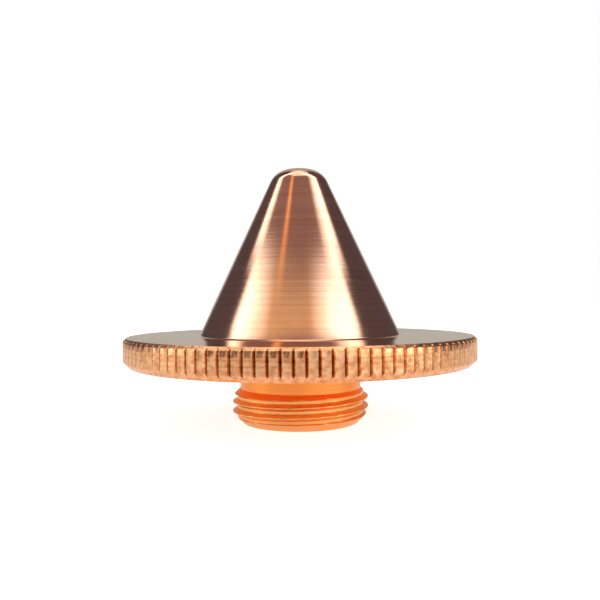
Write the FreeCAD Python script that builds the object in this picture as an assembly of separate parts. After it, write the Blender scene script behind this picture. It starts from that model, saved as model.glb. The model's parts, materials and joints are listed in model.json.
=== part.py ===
import FreeCAD, Part
import math
import os

# A copper cutting-head nozzle, turned from one bar: a knurled flange that seats on the head, a tall
# conical nose above it and a short stub with a fine thread below it, with one funnel-shaped passage
# from the stub's mouth to the orifice in the tip.
# Millimetres, +Z from the stub to the tip. The origin is the centre of the flange's seating face.

# Flange
FLANGE_RADIUS = 14.0
FLANGE_THICKNESS = 2.2
TOP_CHAMFER = 0.25
SEAT_CHAMFER = 0.45

# Straight knurl, rolled into the rim before its crests and both chamfers are turned
KNURL_TEETH = 110
KNURL_DEPTH = 0.2
KNURL_FLANK_DEG = 30.0

# Conical nose
NOSE_HEIGHT = 15.65
NOSE_HALF_ANGLE_DEG = 25.0
NOSE_FOOT_RADIUS = 8.15
FOOT_FILLET = 0.2
TIP_ROUNDING = 1.75

# Stub for a M11 x 0.75 thread: the wall is at the thread's major radius
STUB_LENGTH = 4.8
THREAD_RADIUS = 5.5
THREAD_TOP_Z = -2.65
NECK_RADIUS = 4.9
NECK_BOTTOM_Z = -2.05
STUB_END_CHAMFER = 0.8

# Passage
MOUTH_RADIUS = 4.0
MOUTH_CHAMFER = 0.25
MOUTH_TOP_Z = 0.0
ORIFICE_RADIUS = 0.6
ORIFICE_LENGTH = 1.2

FULL_TURN_DEG = 360.0
AXIS_UP = FreeCAD.Vector(0, 0, 1)


def section_point(radius, height):
    """A point of the section, which lies in the XZ plane to the right of the axis."""
    return FreeCAD.Vector(radius, 0, height)


def corner_arc(before, corner, after, radius):
    """The arc that rounds a corner of the section, tangent to the two lines that meet there."""
    to_before = (before - corner).normalize()
    to_after = (after - corner).normalize()
    half_corner = to_before.getAngle(to_after) / 2
    towards_centre = (to_before + to_after).normalize()
    centre = corner + towards_centre * (radius / math.sin(half_corner))
    tangent_length = radius / math.tan(half_corner)
    start = corner + to_before * tangent_length
    end = corner + to_after * tangent_length
    return Part.Arc(start, centre - towards_centre * radius, end)


def section_edges(corners):
    """The edges of a closed outline of (point, rounding radius) corners. A radius of 0 is sharp."""
    edges = []
    starts = []
    ends = []
    for index, (corner, radius) in enumerate(corners):
        before = corners[index - 1][0]
        after = corners[(index + 1) % len(corners)][0]
        if radius > 0:
            arc = corner_arc(before, corner, after, radius)
            edges.append(arc.toShape())
            starts.append(arc.StartPoint)
            ends.append(arc.EndPoint)
        else:
            starts.append(corner)
            ends.append(corner)
    for index, end in enumerate(ends):
        next_start = starts[(index + 1) % len(starts)]
        edges.append(Part.makeLine(end, next_start))
    return edges


def stub_corners():
    """The outside of the stub, from its end face up to the seating face."""
    end_radius = THREAD_RADIUS - STUB_END_CHAMFER
    return [
        (section_point(end_radius, -STUB_LENGTH), 0),
        (section_point(THREAD_RADIUS, -STUB_LENGTH + STUB_END_CHAMFER), 0),
        (section_point(THREAD_RADIUS, THREAD_TOP_Z), 0),
        (section_point(NECK_RADIUS, NECK_BOTTOM_Z), 0),
        (section_point(NECK_RADIUS, 0), 0),
    ]


def flange_corners():
    """The chamfered rim of the flange, before it is knurled."""
    return [
        (section_point(FLANGE_RADIUS - SEAT_CHAMFER, 0), 0),
        (section_point(FLANGE_RADIUS, SEAT_CHAMFER), 0),
        (section_point(FLANGE_RADIUS, FLANGE_THICKNESS - TOP_CHAMFER), 0),
        (section_point(FLANGE_RADIUS - TOP_CHAMFER, FLANGE_THICKNESS), 0),
    ]


def nose_corners():
    """The cone from its small fillet on the flange up to the rounded tip."""
    cone_height = NOSE_HEIGHT - FLANGE_THICKNESS
    shrink = cone_height * math.tan(math.radians(NOSE_HALF_ANGLE_DEG))
    return [
        (section_point(NOSE_FOOT_RADIUS, FLANGE_THICKNESS), FOOT_FILLET),
        (section_point(NOSE_FOOT_RADIUS - shrink, NOSE_HEIGHT), TIP_ROUNDING),
    ]


def passage_corners():
    """The inside, from the orifice at the tip down to the mouth in the stub's end."""
    return [
        (section_point(ORIFICE_RADIUS, NOSE_HEIGHT), 0),
        (section_point(ORIFICE_RADIUS, NOSE_HEIGHT - ORIFICE_LENGTH), 0),
        (section_point(MOUTH_RADIUS, MOUTH_TOP_Z), 0),
        (section_point(MOUTH_RADIUS, -STUB_LENGTH + MOUTH_CHAMFER), 0),
        (section_point(MOUTH_RADIUS + MOUTH_CHAMFER, -STUB_LENGTH), 0),
    ]


def turned_blank():
    """The nozzle as it leaves the lathe, with a smooth rim."""
    corners = stub_corners() + flange_corners() + nose_corners() + passage_corners()
    outline = Part.Wire(Part.__sortEdges__(section_edges(corners)))
    section = Part.Face(outline)
    return section.revolve(FreeCAD.Vector(0, 0, 0), AXIS_UP, FULL_TURN_DEG)


def knurled_bar():
    """A toothed bar whose V grooves reach to the knurl's depth and whose crests pass the rim."""
    groove_root = FLANGE_RADIUS - KNURL_DEPTH
    half_pitch_deg = FULL_TURN_DEG / KNURL_TEETH / 2
    flank = math.radians(KNURL_FLANK_DEG)
    crest = groove_root * math.sin(flank) / math.sin(flank - math.radians(half_pitch_deg))
    points = []
    for step in range(2 * KNURL_TEETH + 1):
        radius = crest if step % 2 else groove_root
        angle = math.radians(step * half_pitch_deg)
        points.append(FreeCAD.Vector(radius * math.cos(angle), radius * math.sin(angle), 0))
    section = Part.Face(Part.makePolygon(points))
    section.translate(AXIS_UP * -STUB_LENGTH)
    return section.extrude(AXIS_UP * (STUB_LENGTH + NOSE_HEIGHT))


def nozzle_body():
    """The whole nozzle: the blank, knurled by what it shares with the toothed bar."""
    return turned_blank().common(knurled_bar())


os.makedirs("parts", exist_ok=True)
nozzle = nozzle_body().Solids[0]
print("valid:", nozzle.isValid(), "volume mm3:", round(nozzle.Volume, 2))
nozzle.exportStep("parts/nozzle_body.step")
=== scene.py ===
import json
import math

import bpy
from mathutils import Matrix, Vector


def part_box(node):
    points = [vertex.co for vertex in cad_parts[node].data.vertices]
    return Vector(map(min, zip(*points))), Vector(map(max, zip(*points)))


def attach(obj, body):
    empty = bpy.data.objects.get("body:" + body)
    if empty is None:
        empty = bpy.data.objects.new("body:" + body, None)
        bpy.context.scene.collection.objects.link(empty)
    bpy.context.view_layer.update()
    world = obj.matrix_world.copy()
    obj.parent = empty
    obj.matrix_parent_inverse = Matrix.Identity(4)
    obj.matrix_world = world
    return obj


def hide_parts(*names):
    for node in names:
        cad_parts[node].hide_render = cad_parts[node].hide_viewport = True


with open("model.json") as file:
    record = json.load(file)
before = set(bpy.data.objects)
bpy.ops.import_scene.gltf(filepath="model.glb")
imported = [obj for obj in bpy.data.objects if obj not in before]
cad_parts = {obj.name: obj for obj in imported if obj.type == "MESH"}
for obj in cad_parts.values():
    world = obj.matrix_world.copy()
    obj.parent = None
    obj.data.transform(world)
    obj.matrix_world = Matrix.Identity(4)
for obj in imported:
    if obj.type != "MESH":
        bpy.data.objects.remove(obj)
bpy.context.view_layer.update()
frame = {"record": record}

# A copper cutting-head nozzle on a white table. One mesh stands for the turned body: the solid's own
# form, meshed finely enough for mirror-like copper, with the turns of the fine thread cut in.
# Metres, in the frame of the solids: the origin is the centre of the flange's underside.

MM = 0.001
TURN = 2 * math.pi

mounts = {mount["name"]: mount for mount in frame["record"]["mounts"]}
body_low, body_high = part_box("nozzle_body")

# Sizes of the turned body, from the frame where it states them
FLANGE_RADIUS = body_high[1]
FLANGE_THICKNESS = 2.2 * MM
TOP_CHAMFER = 0.25 * MM
SEAT_CHAMFER = 0.45 * MM
NOSE_HEIGHT = body_high[2]
NOSE_HALF_ANGLE = math.radians(25)
NOSE_FOOT_RADIUS = 8.15 * MM
FOOT_FILLET = 0.2 * MM
TIP_ROUNDING = 1.75 * MM
STUB_END = body_low[2]
STUB_END_CHAMFER = 0.8 * MM
THREAD_RADIUS = mounts["thread_stub"]["dims"]["r_mm"] * MM
THREAD_TOP = -2.65 * MM
NECK_RADIUS = 4.9 * MM
NECK_BOTTOM = -2.05 * MM
MOUTH_RADIUS = 4.0 * MM
MOUTH_CHAMFER = 0.25 * MM
MOUTH_TOP = 0.0
ORIFICE_RADIUS = mounts["orifice"]["dims"]["r_mm"] * MM
ORIFICE_LENGTH = mounts["orifice"]["dims"]["length_mm"] * MM

# Knurl: V grooves between lands that are slightly hollow in the middle
KNURL_TEETH = 110
KNURL_PITCH = TURN * FLANGE_RADIUS / KNURL_TEETH
KNURL_DEPTH = 0.2 * MM
KNURL_FLANK = math.radians(30)
GROOVE_HALF = KNURL_DEPTH * math.tan(KNURL_FLANK)
LAND_HOLLOW = 0.02 * MM
LAND_HOLLOW_WIDTH = 0.16 * MM

# M11 x 0.75 thread, right-handed: a crest crosses the +X side at CREST_AT_PLUS_X
THREAD_PITCH = 0.75 * MM
THREAD_DEPTH = 0.5 * THREAD_PITCH
THREAD_CREST_HALF = THREAD_PITCH / 16
THREAD_FLANK_SLOPE = math.sqrt(3)
CREST_AT_PLUS_X = -2.76 * MM

# Mesh density: points round a ring, then steps along each stretch of the section
SIDES_PER_TOOTH = 10
RIM_SIDES = KNURL_TEETH * SIDES_PER_TOOTH
TURNED_SIDES = RIM_SIDES // 2
STUB_SIDES = RIM_SIDES // 4
SEAT_CHAMFER_STEPS = 9
RIM_STEPS = 3
TOP_CHAMFER_STEPS = 8
FILLET_STEPS = 6
CONE_STEPS = 12
TIP_STEPS = 18
PASSAGE_STEPS = 6
THREAD_STEPS = 76
SHARP_EDGE_ANGLE = math.radians(24)


# ---------------------------------------------------------------- section and rings

def rounded(before, corner, after, radius, steps):
    """Points of the arc that rounds a corner of the (radius, height) section."""
    before, corner, after = Vector(before), Vector(corner), Vector(after)
    to_before = (before - corner).normalized()
    to_after = (after - corner).normalized()
    half_corner = to_before.angle(to_after) / 2
    towards_centre = (to_before + to_after).normalized()
    centre = corner + towards_centre * (radius / math.sin(half_corner))
    start = corner + to_before * (radius / math.tan(half_corner)) - centre
    end = corner + to_after * (radius / math.tan(half_corner)) - centre
    points = []
    for step in range(steps + 1):
        spoke = start.normalized().slerp(end.normalized(), step / steps) * radius
        points.append(tuple(centre + spoke))
    return points


def straight(start, end, steps):
    """Points of a straight stretch of the section, without its start."""
    points = []
    for step in range(1, steps + 1):
        part = step / steps
        points.append(tuple(a + (b - a) * part for a, b in zip(start, end)))
    return points


def round_ring(radius, height, sides):
    """A plain circle of points round the axis."""
    ring = []
    for side in range(sides):
        angle = TURN * side / sides
        ring.append((radius * math.cos(angle), radius * math.sin(angle), height))
    return ring


def knurl_offsets():
    """Where the points of one tooth lie, as shares of the knurl's pitch, from one groove's root."""
    groove_edge = GROOVE_HALF / KNURL_PITCH
    near_root = groove_edge / 4
    past_edge = groove_edge * 1.15
    on_land = 0.35
    half = [0.0, near_root, groove_edge, past_edge, on_land, 0.5]
    return half + [1 - offset for offset in reversed(half[1:-1])]


def knurled_ring(radius, height):
    """A circle of the rim, cut by the V grooves wherever it stands out past their flanks."""
    root_radius = FLANGE_RADIUS - KNURL_DEPTH
    ring = []
    for tooth in range(KNURL_TEETH):
        for offset in knurl_offsets():
            from_root = min(offset, 1 - offset) * KNURL_PITCH
            flank_radius = root_radius + from_root / math.tan(KNURL_FLANK)
            angle = TURN * (tooth + offset) / KNURL_TEETH
            onto_land = max(0.0, from_root - GROOVE_HALF)
            hollow = LAND_HOLLOW * min(1.0, onto_land / LAND_HOLLOW_WIDTH)
            reach = min(radius, flank_radius, FLANGE_RADIUS - hollow)
            ring.append((reach * math.cos(angle), reach * math.sin(angle), height))
    return ring


def stub_envelope(height):
    """The stub's radius at a height, before the thread is cut: neck, shoulder, wall, end chamfer."""
    if height >= NECK_BOTTOM:
        return NECK_RADIUS
    if height >= THREAD_TOP:
        part = (NECK_BOTTOM - height) / (NECK_BOTTOM - THREAD_TOP)
        return NECK_RADIUS + (THREAD_RADIUS - NECK_RADIUS) * part
    chamfer_top = STUB_END + STUB_END_CHAMFER
    if height >= chamfer_top:
        return THREAD_RADIUS
    return THREAD_RADIUS - (chamfer_top - height)


def threaded_ring(height, sides):
    """A circle of the stub, cut by the helical groove of the thread."""
    ring = []
    for side in range(sides):
        angle = TURN * side / sides
        crest = CREST_AT_PLUS_X + THREAD_PITCH * side / sides
        turns_off = (height - crest) / THREAD_PITCH
        off_crest = abs(turns_off - round(turns_off)) * THREAD_PITCH
        cut = max(0.0, off_crest - THREAD_CREST_HALF) * THREAD_FLANK_SLOPE
        reach = min(stub_envelope(height), THREAD_RADIUS - min(cut, THREAD_DEPTH))
        ring.append((reach * math.cos(angle), reach * math.sin(angle), height))
    return ring


def nose_rings():
    """From the flat of the flange over the fillet and the cone to the orifice's edge."""
    cone_height = NOSE_HEIGHT - FLANGE_THICKNESS
    top_radius = NOSE_FOOT_RADIUS - cone_height * math.tan(NOSE_HALF_ANGLE)
    flange_edge = (FLANGE_RADIUS - TOP_CHAMFER, FLANGE_THICKNESS)
    foot = (NOSE_FOOT_RADIUS, FLANGE_THICKNESS)
    top = (top_radius, NOSE_HEIGHT)
    lip = (ORIFICE_RADIUS, NOSE_HEIGHT)
    points = rounded(flange_edge, foot, top, FOOT_FILLET, FILLET_STEPS)
    tip = rounded(foot, top, lip, TIP_ROUNDING, TIP_STEPS)
    points += straight(points[-1], tip[0], CONE_STEPS) + tip[1:] + [lip]
    return [round_ring(radius, height, TURNED_SIDES) for radius, height in points]


def rim_rings():
    """The knurled rim, from the edge of the seating face up to the edge of the top face."""
    seat_edge = (FLANGE_RADIUS - SEAT_CHAMFER, 0.0)
    rim_bottom = (FLANGE_RADIUS, SEAT_CHAMFER)
    rim_top = (FLANGE_RADIUS, FLANGE_THICKNESS - TOP_CHAMFER)
    top_edge = (FLANGE_RADIUS - TOP_CHAMFER, FLANGE_THICKNESS)
    points = [seat_edge] + straight(seat_edge, rim_bottom, SEAT_CHAMFER_STEPS)
    points += straight(rim_bottom, rim_top, RIM_STEPS)
    points += straight(rim_top, top_edge, TOP_CHAMFER_STEPS)
    return [knurled_ring(radius, height) for radius, height in points]


def stub_rings():
    """From the stub's flat end, out and up the threaded stub and the neck to the seating face."""
    share_of_chamfer = 0.3
    gap_below_neck = 0.1 * MM
    lowest = STUB_END + STUB_END_CHAMFER * share_of_chamfer
    highest = NECK_BOTTOM - gap_below_neck
    end_radius = THREAD_RADIUS - STUB_END_CHAMFER
    rings = [round_ring(end_radius, STUB_END, STUB_SIDES)]
    for step in range(THREAD_STEPS + 1):
        height = lowest + (highest - lowest) * step / THREAD_STEPS
        rings.append(threaded_ring(height, STUB_SIDES))
    rings.append(round_ring(NECK_RADIUS, NECK_BOTTOM, STUB_SIDES))
    rings.append(round_ring(NECK_RADIUS, 0.0, STUB_SIDES))
    return rings


def passage_rings():
    """The passage, from the orifice's lower end down to the mouth's chamfer in the stub's end."""
    throat = NOSE_HEIGHT - ORIFICE_LENGTH
    rings = [round_ring(ORIFICE_RADIUS, throat, TURNED_SIDES)]
    widening = straight((ORIFICE_RADIUS, throat), (MOUTH_RADIUS, MOUTH_TOP), PASSAGE_STEPS)
    for radius, height in widening:
        rings.append(round_ring(radius, height, TURNED_SIDES))
    rings.append(round_ring(MOUTH_RADIUS, STUB_END + MOUTH_CHAMFER, TURNED_SIDES))
    rings.append(round_ring(MOUTH_RADIUS + MOUTH_CHAMFER, STUB_END, TURNED_SIDES))
    return rings


def bridge(low_start, low_count, high_start, high_count):
    """Faces between two rings, one of which may have a whole number of times more points."""
    faces = []
    if low_count == high_count:
        for side in range(low_count):
            after = (side + 1) % low_count
            faces.append((low_start + side, low_start + after, high_start + after, high_start + side))
        return faces
    coarse_is_low = low_count < high_count
    coarse_start, coarse_count = (low_start, low_count) if coarse_is_low else (high_start, high_count)
    fine_start, fine_count = (high_start, high_count) if coarse_is_low else (low_start, low_count)
    ratio = fine_count // coarse_count
    for side in range(coarse_count):
        here = coarse_start + side
        after = coarse_start + (side + 1) % coarse_count
        fine = [fine_start + (side * ratio + step) % fine_count for step in range(ratio + 1)]
        face = (here, after, *reversed(fine)) if coarse_is_low else (*fine, after, here)
        faces.append(face)
    return faces


def nozzle_mesh():
    """The whole turned body as one closed ring of rings, from the seating face round to itself."""
    rings = rim_rings() + nose_rings() + passage_rings() + stub_rings()
    points = []
    starts = []
    for ring in rings:
        starts.append(len(points))
        points += ring
    faces = []
    for index, ring in enumerate(rings):
        after = (index + 1) % len(rings)
        faces += bridge(starts[index], len(ring), starts[after], len(rings[after]))
    mesh = bpy.data.meshes.new("nozzle")
    mesh.from_pydata(points, [], faces)
    mesh.validate()
    mesh.shade_smooth()
    mesh.set_sharp_from_angle(angle=SHARP_EDGE_ANGLE)
    return mesh


# ---------------------------------------------------------------- materials

BLACK = (0.0, 0.0, 0.0)
WHITE = (1.0, 1.0, 1.0)

# Noise scales, in repeats per metre, and how fine their detail goes
FINE_MARKS = 9000.0
RIM_MARKS = 6000.0
GRAIN = 2600.0
PATCHES = 260.0
TABLE_GRAIN = 40.0
PLAIN_DETAIL = 2.0
RICH_DETAIL = 3.0

# Stops of colour ramps: a place on the ramp and the colour there
POLISHED_TINTS = [(0.3, (0.72, 0.40, 0.27)), (0.5, (0.86, 0.52, 0.35)), (0.7, (0.94, 0.62, 0.43))]
KNURLED_TINTS = [(0.32, (0.66, 0.28, 0.12)), (0.5, (0.86, 0.43, 0.20)), (0.7, (0.97, 0.58, 0.31))]
# painted shade: the knurl's copper is darkened towards the bottom of its grooves
GROOVE_PAINTED_SHADE = [(0.0, (0.52, 0.48, 0.46)), (0.8, WHITE)]
# the stub's tints: partly the copper's own colour, partly painted reflection of light bounced off the
# copper
THREAD_TINTS_AND_REFLECTION = [(0.3, (0.91, 0.42, 0.13)), (0.7, (0.97, 0.50, 0.18))]
NECK_TINTS_AND_REFLECTION = [(0.3, (0.96, 0.30, 0.06)), (0.7, (0.99, 0.36, 0.09))]
TABLE_TINTS = [(0.0, (0.68, 0.68, 0.68)), (1.0, (0.72, 0.72, 0.72))]

# Roughness: what its noise adds at most, and the least value
POLISHED_ROUGHNESS = (0.10, 0.05)
KNURLED_ROUGHNESS = (0.25, 0.14)
BRIGHT_ROUGHNESS = (0.12, 0.26)
TABLE_ROUGHNESS = 0.9

# Relief: the bump's strength and its depth
POLISHED_RELIEF = (0.5, 0.004 * MM)
KNURLED_RELIEF = (0.5, 0.02 * MM)
BRIGHT_RELIEF = (0.3, 0.006 * MM)

# The grain's share in the knurled copper's relief, and the polished copper's unevenness of gloss
GRAIN_IN_RELIEF = 0.35
POLISH_ANISOTROPY = 0.6

# Order of the coppers on the piece, after the polished one, and margins that keep a face whose middle
# lies just past an edge with its own surface
KNURLED_INDEX = 1
BRIGHT_INDEX = 2
RIM_MARGIN = 1.02
TOP_FACE_MARGIN = 0.999
MOUTH_MARGIN = 1.01


def new_material(name):
    """A material that is one Principled shader; gives the material and the shader."""
    material = bpy.data.materials.new(name)
    material.use_nodes = True
    nodes = material.node_tree.nodes
    nodes.clear()
    output = nodes.new("ShaderNodeOutputMaterial")
    shader = nodes.new("ShaderNodeBsdfPrincipled")
    material.node_tree.links.new(shader.outputs["BSDF"], output.inputs["Surface"])
    return material, shader


def maths(tree, operation, first, second=None, third=None):
    """A Math node whose inputs are sockets or plain numbers; gives its output socket."""
    node = tree.nodes.new("ShaderNodeMath")
    node.operation = operation
    for index, value in enumerate((first, second, third)):
        if value is None:
            continue
        if isinstance(value, (int, float)):
            node.inputs[index].default_value = value
        else:
            tree.links.new(value, node.inputs[index])
    return node.outputs[0]


def ramp(tree, factor, stops):
    """A colour ramp with (place, colour) stops; gives its colour socket."""
    node = tree.nodes.new("ShaderNodeValToRGB")
    elements = node.color_ramp.elements
    while len(elements) < len(stops):
        elements.new(0.5)
    for element, (place, colour) in zip(elements, stops):
        element.position = place
        element.color = (*colour, 1)
    tree.links.new(factor, node.inputs["Fac"])
    return node.outputs["Color"]


def vector_maths(tree, operation, first, second):
    """A Vector Math node on two colours or vectors; gives its output socket."""
    node = tree.nodes.new("ShaderNodeVectorMath")
    node.operation = operation
    tree.links.new(first, node.inputs[0])
    tree.links.new(second, node.inputs[1])
    return node.outputs[0]


def blend(tree, first, second, amount):
    """The first colour where the amount is black, the second where it is white."""
    change = vector_maths(tree, "SUBTRACT", second, first)
    return vector_maths(tree, "ADD", first, vector_maths(tree, "MULTIPLY", change, amount))


def noise(tree, vector, scale, detail):
    """A noise texture's value socket."""
    node = tree.nodes.new("ShaderNodeTexNoise")
    node.inputs["Scale"].default_value = scale
    node.inputs["Detail"].default_value = detail
    tree.links.new(vector, node.inputs["Vector"])
    return node.outputs["Fac"]


def turned_coordinates(tree):
    """Sockets for the place, its distance from the axis, its height, and (radius, height, 0)."""
    place = tree.nodes.new("ShaderNodeTexCoord")
    split = tree.nodes.new("ShaderNodeSeparateXYZ")
    tree.links.new(place.outputs["Object"], split.inputs[0])
    x_squared = maths(tree, "POWER", split.outputs["X"], 2.0)
    y_squared = maths(tree, "POWER", split.outputs["Y"], 2.0)
    radius = maths(tree, "SQRT", maths(tree, "ADD", x_squared, y_squared))
    joined = tree.nodes.new("ShaderNodeCombineXYZ")
    tree.links.new(radius, joined.inputs["X"])
    tree.links.new(split.outputs["Z"], joined.inputs["Y"])
    return {"place": place.outputs["Object"], "radius": radius, "height": split.outputs["Z"],
            "turned": joined.outputs[0]}


def finish_copper(tree, shader, tint, rough, relief, relief_size):
    """Makes the shader a metal; the relief's size is the bump's strength and its depth."""
    tree.links.new(tint, shader.inputs["Base Color"])
    tree.links.new(rough, shader.inputs["Roughness"])
    shader.inputs["Metallic"].default_value = 1.0
    strength, depth = relief_size
    bump = tree.nodes.new("ShaderNodeBump")
    bump.inputs["Strength"].default_value = strength
    bump.inputs["Distance"].default_value = depth
    tree.links.new(relief, bump.inputs["Height"])
    tree.links.new(bump.outputs[0], shader.inputs["Normal"])


def polished_copper():
    """The turned copper of nose and faces: fine tool marks round the axis, faint tarnish patches."""
    material, shader = new_material("polished_copper")
    tree = material.node_tree
    at = turned_coordinates(tree)
    marks = noise(tree, at["turned"], FINE_MARKS, RICH_DETAIL)
    bands = noise(tree, at["turned"], GRAIN, RICH_DETAIL)
    patches = noise(tree, at["place"], PATCHES, RICH_DETAIL)
    half_bands = maths(tree, "MULTIPLY", bands, 0.5)
    half_patches = maths(tree, "MULTIPLY", patches, 0.5)
    tint = ramp(tree, maths(tree, "ADD", half_bands, half_patches), POLISHED_TINTS)
    rough = maths(tree, "MULTIPLY_ADD", marks, *POLISHED_ROUGHNESS)
    finish_copper(tree, shader, tint, rough, marks, POLISHED_RELIEF)
    # the gloss is uneven in direction, with its tangent running round the axis
    shader.inputs["Anisotropic"].default_value = POLISH_ANISOTROPY
    tangent = tree.nodes.new("ShaderNodeTangent")
    tangent.direction_type = "RADIAL"
    tangent.axis = "Z"
    tree.links.new(tangent.outputs[0], shader.inputs["Tangent"])
    return material


def knurled_copper():
    """The rim: grainy pressed copper, with faint marks round it and painted shade down in the grooves.
    """
    material, shader = new_material("knurled_copper")
    tree = material.node_tree
    at = turned_coordinates(tree)
    marks = noise(tree, at["turned"], RIM_MARKS, PLAIN_DETAIL)
    grain = noise(tree, at["place"], GRAIN, RICH_DETAIL)
    unshaded_tint = ramp(tree, grain, KNURLED_TINTS)
    # the 45 degree chamfers draw in by as much as they go below or over the plain rim: that is added
    # back to the radius, so that the painted shade marks only the depth in a groove
    below = maths(tree, "MAXIMUM", maths(tree, "SUBTRACT", SEAT_CHAMFER, at["height"]), 0.0)
    over_rim = maths(tree, "SUBTRACT", at["height"], FLANGE_THICKNESS - TOP_CHAMFER)
    over = maths(tree, "MAXIMUM", over_rim, 0.0)
    full_radius = maths(tree, "ADD", at["radius"], maths(tree, "ADD", below, over))
    above_root = maths(tree, "SUBTRACT", full_radius, FLANGE_RADIUS - KNURL_DEPTH)
    out_of_groove = maths(tree, "DIVIDE", above_root, KNURL_DEPTH)
    # painted shade: the copper darkens towards the bottom of each groove
    groove_shade = ramp(tree, out_of_groove, GROOVE_PAINTED_SHADE)
    tint = vector_maths(tree, "MULTIPLY", unshaded_tint, groove_shade)
    rough = maths(tree, "MULTIPLY_ADD", grain, *KNURLED_ROUGHNESS)
    relief = maths(tree, "MULTIPLY_ADD", grain, GRAIN_IN_RELIEF, marks)
    finish_copper(tree, shader, tint, rough, relief, KNURLED_RELIEF)
    return material


def bright_copper():
    """The stub: freshly cut copper, golden on the thread and redder on the neck; the deep orange of both
    is partly painted reflection of copper light bounced onto the stub.
    """
    material, shader = new_material("bright_copper")
    tree = material.node_tree
    at = turned_coordinates(tree)
    marks = noise(tree, at["turned"], FINE_MARKS, PLAIN_DETAIL)
    # both tints are deepened towards orange as painted reflection of copper light bounced onto the stub
    thread_and_reflection_tint = ramp(tree, marks, THREAD_TINTS_AND_REFLECTION)
    neck_and_reflection_tint = ramp(tree, marks, NECK_TINTS_AND_REFLECTION)
    above_thread = maths(tree, "SUBTRACT", at["height"], THREAD_TOP)
    up_shoulder = maths(tree, "DIVIDE", above_thread, NECK_BOTTOM - THREAD_TOP)
    on_neck = ramp(tree, up_shoulder, [(0.0, BLACK), (1.0, WHITE)])
    tint = blend(tree, thread_and_reflection_tint, neck_and_reflection_tint, on_neck)
    rough = maths(tree, "MULTIPLY_ADD", marks, *BRIGHT_ROUGHNESS)
    finish_copper(tree, shader, tint, rough, marks, BRIGHT_RELIEF)
    return material


def give_materials(piece):
    """Polished copper all over, then the rim's and the stub's own by where each face lies."""
    for material in (polished_copper(), knurled_copper(), bright_copper()):
        piece.data.materials.append(material)
    rim_radius = FLANGE_RADIUS - max(TOP_CHAMFER, SEAT_CHAMFER) * RIM_MARGIN
    top_face = FLANGE_THICKNESS * TOP_FACE_MARGIN
    mouth_wall = MOUTH_RADIUS * MOUTH_MARGIN
    for face in piece.data.polygons:
        height = face.center.z
        from_axis = face.center.xy.length
        in_mouth = height < 0 and from_axis < mouth_wall
        if height > top_face or in_mouth:
            continue
        if height <= 0:
            face.material_index = BRIGHT_INDEX
        elif from_axis > rim_radius:
            face.material_index = KNURLED_INDEX


def nozzle_piece():
    """The visible nozzle, in place of the solid."""
    piece = bpy.data.objects.new("nozzle", nozzle_mesh())
    bpy.context.scene.collection.objects.link(piece)
    give_materials(piece)
    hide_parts("nozzle_body")
    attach(piece, "root")


# ---------------------------------------------------------------- stage, light, camera

# The table's own glow: as the camera sees it, as gloss reflects it, and what is added for gloss
# within GLOW_INNER of the axis, fading out by GLOW_OUTER
TABLE_REACH = 0.6
TABLE_GLOW_SEEN = 0.80
TABLE_GLOW_REFLECTED = 0.36
TABLE_GLOW_BENEATH = 0.15
GLOW_INNER = 18 * MM
GLOW_OUTER = 34 * MM

# The studio's bands of height sink away from the front: the factor, and the power of the turn from there
BAND_SINK = 4.2
BAND_SINK_POWER = 2.5

LAMP_SIZE = 0.30
LAMP_POWER = 0.2
LAMP_HEIGHT = 0.40

CAMERA_DISTANCE = 50.8 * MM
CAMERA_HEIGHT = 5.02 * MM
CAMERA_SIDE = 0.02 * MM
CAMERA_LENS = 37.16
CAMERA_SENSOR = 36.0
CAMERA_ROLL = math.radians(0.42)
CAMERA_NEAREST = 1 * MM
CAMERA_FARTHEST = 10.0


def table():
    """A white table under the stub's end, with a glow for the camera and a fainter one for gloss."""
    mesh = bpy.data.meshes.new("table")
    corners = [(-TABLE_REACH, -TABLE_REACH, STUB_END), (TABLE_REACH, -TABLE_REACH, STUB_END),
               (TABLE_REACH, TABLE_REACH, STUB_END), (-TABLE_REACH, TABLE_REACH, STUB_END)]
    mesh.from_pydata(corners, [], [(0, 1, 2, 3)])
    piece = bpy.data.objects.new("table", mesh)
    bpy.context.scene.collection.objects.link(piece)
    material, shader = new_material("table_white")
    tree = material.node_tree
    at = turned_coordinates(tree)
    tint = ramp(tree, noise(tree, at["place"], TABLE_GRAIN, PLAIN_DETAIL), TABLE_TINTS)
    tree.links.new(tint, shader.inputs["Base Color"])
    shader.inputs["Roughness"].default_value = TABLE_ROUGHNESS
    shader.inputs["Specular IOR Level"].default_value = 0.0
    glow = tree.nodes.new("ShaderNodeEmission")
    added = tree.nodes.new("ShaderNodeAddShader")
    path = tree.nodes.new("ShaderNodeLightPath")
    seen = maths(tree, "MULTIPLY", path.outputs["Is Camera Ray"], TABLE_GLOW_SEEN)
    inward = maths(tree, "SUBTRACT", GLOW_OUTER, at["radius"])
    faded = maths(tree, "DIVIDE", inward, GLOW_OUTER - GLOW_INNER)
    beneath = maths(tree, "MINIMUM", maths(tree, "MAXIMUM", faded, 0.0), 1.0)
    reflected = maths(tree, "MULTIPLY_ADD", beneath, TABLE_GLOW_BENEATH, TABLE_GLOW_REFLECTED)
    strength = maths(tree, "MULTIPLY_ADD", path.outputs["Is Glossy Ray"], reflected, seen)
    tree.links.new(strength, glow.inputs["Strength"])
    output = tree.nodes["Material Output"]
    tree.links.new(shader.outputs["BSDF"], added.inputs[0])
    tree.links.new(glow.outputs[0], added.inputs[1])
    tree.links.new(added.outputs[0], output.inputs["Surface"])
    piece.data.materials.append(material)


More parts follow.
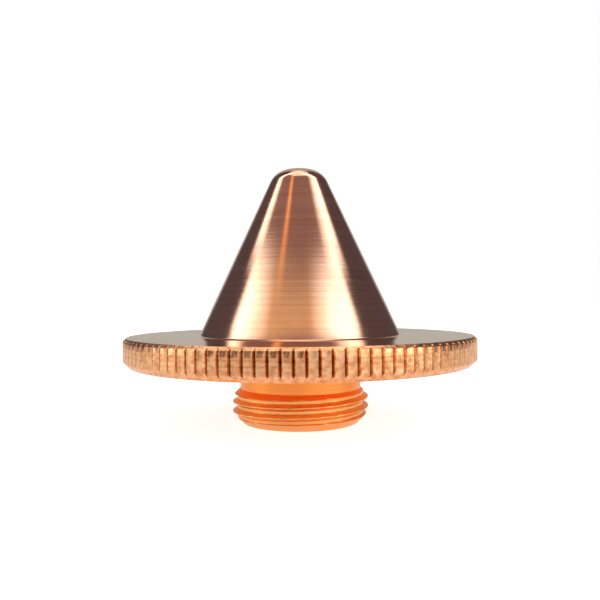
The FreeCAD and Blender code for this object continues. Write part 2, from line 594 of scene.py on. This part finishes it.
def studio_world():
    """A white backdrop to the camera; for light and gloss, a studio of panels in three bands."""
    world = bpy.data.worlds.new("studio")
    bpy.context.scene.world = world
    world.use_nodes = True
    tree = world.node_tree
    tree.nodes.clear()
    output = tree.nodes.new("ShaderNodeOutputWorld")
    coordinates = tree.nodes.new("ShaderNodeTexCoord")
    split = tree.nodes.new("ShaderNodeSeparateXYZ")
    tree.links.new(coordinates.outputs["Generated"], split.inputs[0])
    # the turn round the studio: 0 at the back, 0.25 on the left, 0.5 in front, 0.75 on the right
    frontward = maths(tree, "MULTIPLY", split.outputs["Y"], -1.0)
    sideways = maths(tree, "ARCTAN2", split.outputs["X"], frontward)
    around = maths(tree, "MULTIPLY_ADD", sideways, 1 / TURN, 0.5)
    backdrop = (0.5, 0.5, 0.45)
    flag = (0.1, 0.08, 0.1)
    window = (2.5, 2.5, 2.5)
    front = (0.3, 0.2, 0.2)
    low_front = (0.2, 0.15, 0.15)
    warm_front = (0.9, 0.65, 0.4)
    gold = (1.0, 0.45, 0.1)
    # in every band: a pale backdrop behind, and dark flags from there round to the windows
    from_back = [(0.065, backdrop), (0.08, flag)]
    to_back = [(0.92, flag), (0.935, backdrop)]
    # near the horizon: two windows with a dim front between them
    level = ramp(tree, around, from_back + [
        (0.23, flag), (0.245, window), (0.285, window), (0.34, low_front),
        (0.50, low_front), (0.66, window), (0.725, window), (0.74, flag)] + to_back)
    # higher up: nearly the same windows, with a bright warm front between them
    middle = ramp(tree, around, from_back + [
        (0.225, flag), (0.25, window), (0.275, window), (0.38, warm_front),
        (0.54, warm_front), (0.64, window), (0.715, window), (0.74, flag)] + to_back)
    # highest: narrower windows further round, with a dim front between them
    top = ramp(tree, around, from_back + [
        (0.19, flag), (0.21, window), (0.225, window), (0.26, front),
        (0.65, front), (0.725, window), (0.75, window), (0.775, flag)] + to_back)
    # a gold streak left of the front, in the highest band only
    streak = ramp(tree, around, [(0.37, BLACK), (0.385, gold), (0.40, gold), (0.415, BLACK)])
    # the bands of the studio sink towards the back, so that they run level round the nose
    round_from_front = maths(tree, "ABSOLUTE", maths(tree, "SUBTRACT", around, 0.5))
    sink_share = maths(tree, "POWER", round_from_front, BAND_SINK_POWER)
    sink = maths(tree, "MULTIPLY", sink_share, BAND_SINK)
    band = maths(tree, "ADD", split.outputs["Z"], sink)
    to_middle = ramp(tree, band, [(0.58, BLACK), (0.66, WHITE)])
    to_top = ramp(tree, band, [(0.73, BLACK), (0.81, WHITE)])
    to_streak = ramp(tree, band, [(0.75, BLACK), (0.85, WHITE)])
    streaked = vector_maths(tree, "MULTIPLY", streak, to_streak)
    panels = blend(tree, blend(tree, level, middle, to_middle), top, to_top)
    colour = vector_maths(tree, "ADD", panels, streaked)
    studio = tree.nodes.new("ShaderNodeBackground")
    tree.links.new(colour, studio.inputs["Color"])
    studio.inputs["Strength"].default_value = 1.0
    white = tree.nodes.new("ShaderNodeBackground")
    white.inputs["Color"].default_value = (*WHITE, 1.0)
    white.inputs["Strength"].default_value = 1.0
    path = tree.nodes.new("ShaderNodeLightPath")
    mixed = tree.nodes.new("ShaderNodeMixShader")
    tree.links.new(path.outputs["Is Camera Ray"], mixed.inputs["Fac"])
    tree.links.new(studio.outputs[0], mixed.inputs[1])
    tree.links.new(white.outputs[0], mixed.inputs[2])
    tree.links.new(mixed.outputs[0], output.inputs["Surface"])


def top_light():
    """A broad, faint light overhead."""
    lamp = bpy.data.lights.new("top_light", "AREA")
    lamp.shape = "DISK"
    lamp.size = LAMP_SIZE
    lamp.energy = LAMP_POWER
    holder = bpy.data.objects.new("top_light", lamp)
    holder.location = (0, 0, LAMP_HEIGHT)
    bpy.context.scene.collection.objects.link(holder)


def camera():
    """A level camera close in front of the nozzle, a little above the flange and slightly rolled."""
    data = bpy.data.cameras.new("camera")
    data.lens = CAMERA_LENS
    data.sensor_width = CAMERA_SENSOR
    data.clip_start = CAMERA_NEAREST
    data.clip_end = CAMERA_FARTHEST
    holder = bpy.data.objects.new("camera", data)
    holder.location = (CAMERA_SIDE, -CAMERA_DISTANCE, CAMERA_HEIGHT)
    holder.rotation_euler = (math.radians(90), CAMERA_ROLL, 0.0)
    bpy.context.scene.collection.objects.link(holder)
    bpy.context.scene.camera = holder


nozzle_piece()
table()
studio_world()
top_light()
camera()
bpy.context.scene.view_settings.view_transform = "Standard"
